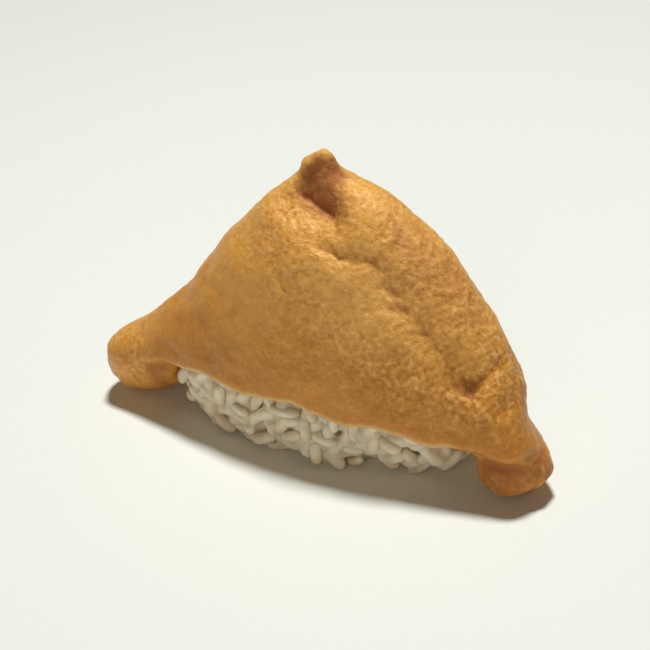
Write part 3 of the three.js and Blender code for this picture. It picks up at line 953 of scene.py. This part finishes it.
def laid_grain(rng, place, facing, lift):
    """One grain's points: turned at random, tilted a little, and lifted off the core within these limits."""
    spin = Matrix.Rotation(rng.uniform(0, 2 * math.pi), 3, facing)
    steepness = FOOT_TILT * float(falling(place[2], 2, 6))
    tilt = rng.uniform(-TILT, TILT) + steepness * rng.random()
    long_way = (spin @ facing.orthogonal().normalized() + facing * tilt).normalized()
    across = facing.cross(long_way).normalized()
    turn = np.array([across, long_way.cross(across), long_way]).T
    sizes = np.array([rng.uniform(*WIDTHS), rng.uniform(*WIDTHS), rng.uniform(*LENGTHS)])
    return (shape * sizes) @ turn.T + place + np.array(facing) * rng.uniform(*lift)


# %% [markdown]
# ## Grains over the core
#
# The mass shows three depths of rice: grains bedded in the core, grains that cover them, and loose ones on
# top. Placing them by hand would take days. So each depth is drawn at random places that keep their distance,
# from a fixed seed, so that every run gives the same heap. No grain is laid high up, where the pouch hides
# the rice, and one that would touch the pouch is skipped.

# %% Grains over the core
HIGHEST_GRAIN = 17
POUCH_CLEARANCE = 0.3 * MM
FLOOR_CLEARANCE = 0.02
wall = tree_of(pouch)


def scatter(name, tries, spacing, lift, seed):
    """Grains at seeded places on the core, one joined mesh, each clear of the pouch."""
    rng = random.Random(seed)
    core.data.calc_loop_triangles()
    triangles = [tuple(triangle.vertices) for triangle in core.data.loop_triangles]
    corners = points_of(core)
    first, second, third = corners[np.array(triangles)].transpose(1, 0, 2)
    areas = np.linalg.norm(np.cross(second - first, third - first), axis=1) / 2
    all_points, all_faces, spots = [], [], np.zeros((0, 3))
    for index in rng.choices(range(len(triangles)), weights=areas, k=tries):
        a, b, c = (corners[i] for i in triangles[index])
        u, v = sorted((rng.random(), rng.random()))
        place = a * u + b * (v - u) + c * (1 - v)
        crowded = len(spots) and np.min(np.sum((spots - place) ** 2, axis=1)) < spacing**2
        if place[2] > HIGHEST_GRAIN or crowded:
            continue
        spots = np.vstack([spots, place])
        facing = Vector(np.cross(b - a, c - a)).normalized()
        grain_points = laid_grain(rng, place, facing, lift)
        gaps = [wall.find_nearest(Vector(point) * MM)[3] for point in grain_points[::5]]
        if min(gaps) < POUCH_CLEARANCE:
            continue
        grain_points[:, 2] = np.maximum(grain_points[:, 2], FLOOR_CLEARANCE)
        start = len(all_points)
        all_points.extend(grain_points)
        all_faces.extend(tuple(start + i for i in face) for face in grain_faces)
    mesh = bpy.data.meshes.new(name)
    mesh.from_pydata([tuple(point * MM) for point in all_points], [], all_faces)
    piece = bpy.data.objects.new(name, mesh)
    bpy.context.scene.collection.objects.link(piece)
    print(name, len(all_points) // len(shape), "grains")
    return piece


bedded = scatter("bedded", tries=20000, spacing=2.0, lift=(0.0, 0.6), seed=11)
covering = scatter("covering", tries=16000, spacing=2.3, lift=(0.8, 1.5), seed=5)
grains = scatter("rice_grains", tries=9000, spacing=3.6, lift=(1.2, 1.7), seed=3)

# %% [markdown]
# ## One sticky mass
#
# Starch melts the grains together where they touch. Left as they are, hundreds of closed grains would cross
# each other inside, and light that wanders in rice would stop at each of them. So the bedded and covering
# grains are joined to the core and remeshed into one closed skin. The loose grains stay a piece of their own.

# %% One sticky mass
GRAIN_NET = 0.32 * MM
CREVICE_ROUNDS, CREVICE_DEPTH = 12, 0.3


def keep_main_skin(piece):
    """Deletes sealed bubbles and scraps: only the skin that the highest point lies on stays."""
    pick(piece)
    bpy.ops.object.mode_set(mode="EDIT")
    bpy.ops.mesh.select_mode(type="VERT")
    bpy.ops.mesh.select_all(action="DESELECT")
    bpy.ops.object.mode_set(mode="OBJECT")
    piece.data.vertices[int(points_of(piece)[:, 2].argmax())].select = True
    bpy.ops.object.mode_set(mode="EDIT")
    bpy.ops.mesh.select_linked()
    bpy.ops.mesh.select_all(action="INVERT")
    bpy.ops.mesh.delete(type="VERT")
    bpy.ops.object.mode_set(mode="OBJECT")


join_into(core, bedded, covering)
shape_with(core, "REMESH", mode="VOXEL", voxel_size=GRAIN_NET)
keep_main_skin(core)
shape_with(core, "SMOOTH", factor=0.5, iterations=1)
keep_above(core, 0.0)
# Each point's depth between grains, for painted shade there.
mark(core, "crevice_shade", sunk(core, CREVICE_ROUNDS, CREVICE_DEPTH))
for piece in (core, grains):
    pick(piece)
    bpy.ops.object.shade_smooth()
print("rice:", triangle_count(core), triangle_count(grains), "triangles")

# %% [markdown]
# ## Finish of steamed rice
#
# A cooked grain is milky: light goes in, wanders about and comes out again. White paint would look like
# plaster, so subsurface scattering makes most of its look. Vinegar and starch leave a thin wet film, which
# is a light coat. Noise varies the mass between milky and clear, and painted shade makes it darker and clearer
# between the grains. A loose grain scatters less deeply than the mass, because it ends sooner, so it gets the
# same finish with a shorter reach.

# %% Finish of steamed rice
MILKY = (0.86, 0.755, 0.58, 1)
# The clear tone, also the colour of painted shade between the grains.
CLEAR_AND_SHADED = (0.70, 0.585, 0.42, 1)


def rice_finish(name, reach, share):
    """Steamed rice whose light wanders this far, in millimetres, for this share of the light."""
    finish, wire, shader = new_finish(
        name, Subsurface_Weight=share, Subsurface_Radius=(1.0, 0.9, 0.72), Subsurface_Scale=reach * MM,
        Coat_Weight=0.25, Coat_Roughness=0.2,
    )
    crevice_shade = marked(wire, "crevice_shade")
    # Painted shade between the grains.
    tone = noise(wire, 2.4, 1.0) - crevice_shade * 0.22
    tone.between(0.2, 0.68).blend(CLEAR_AND_SHADED, MILKY).to(shader, "Base Color")
    roughness = 0.24 + noise(wire, 0.8) * 0.25
    roughness.to(shader, "Roughness")
    emboss(shader, noise(wire, 0.6, 2.0), 0.10, 0.5)
    return finish


core.data.materials.append(rice_finish("steamed_rice", reach=3.2, share=0.9))
grains.data.materials.append(rice_finish("steamed_grain", reach=1.4, share=0.45))
for piece in (core, grains):
    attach(piece, "root")
    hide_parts("rice")
    print(piece.name, "has", piece.data.materials[0].name)

# %% [markdown]
# ## Light
#
# One round soft light stands high and a little behind, as a lamp over a table does, and gives the shadow in
# front. A wide, weak and warmer one from the front keeps the shaded side readable, and the room adds a
# little of the same warm light. A sun would draw the shadow's edge too hard.

# %% Light
LAMP_COLOUR = (0.97, 1.0, 1.0)
FILL_COLOUR = (1.0, 0.84, 0.64)
ROOM_STRENGTH = 0.06


def soft_light(name, place, size, power, tint):
    """A round soft light that points at the middle of the piece."""
    lamp = bpy.data.lights.new(name, "AREA")
    lamp.shape = "DISK"
    lamp.size = size * MM
    lamp.energy = power
    lamp.color = tint
    thing = bpy.data.objects.new(name, lamp)
    bpy.context.scene.collection.objects.link(thing)
    thing.location = [side * MM for side in place]
    thing.rotation_euler = (CAMERA_AIM - thing.location).to_track_quat("-Z", "Y").to_euler()
    print(name, power, "W")


soft_light("key", (-30, 100, 620), 110, 3.75, LAMP_COLOUR)
soft_light("front_fill", (279, -766, 380), 500, 1.25, FILL_COLOUR)
world = bpy.data.worlds.new("studio")
bpy.context.scene.world = world
world.use_nodes = True
world.node_tree.nodes["Background"].inputs["Color"].default_value = (*FILL_COLOUR, 1.0)
world.node_tree.nodes["Background"].inputs["Strength"].default_value = ROOM_STRENGTH

# %% [markdown]
# ## Floor
#
# The floor isn't part of the sushi, so it is only a stage: one plain, pale plane, large enough to have no
# edge in view. It throws light back under the belly, as a plate would.

# %% Floor
FLOOR_SIDE = 3000 * MM
FLOOR_COLOUR = (0.88, 0.89, 0.83, 1)

bpy.ops.object.select_all(action="DESELECT")
bpy.ops.mesh.primitive_plane_add(size=FLOOR_SIDE, location=(0, 0, 0))
floor = bpy.context.object
floor.name = "floor"
floor_finish, _, _ = new_finish("pale_floor", Base_Color=FLOOR_COLOUR, Roughness=0.6)
floor.data.materials.append(floor_finish)
bpy.context.scene.view_settings.view_transform = "Standard"
print("floor:", FLOOR_SIDE, "m wide")
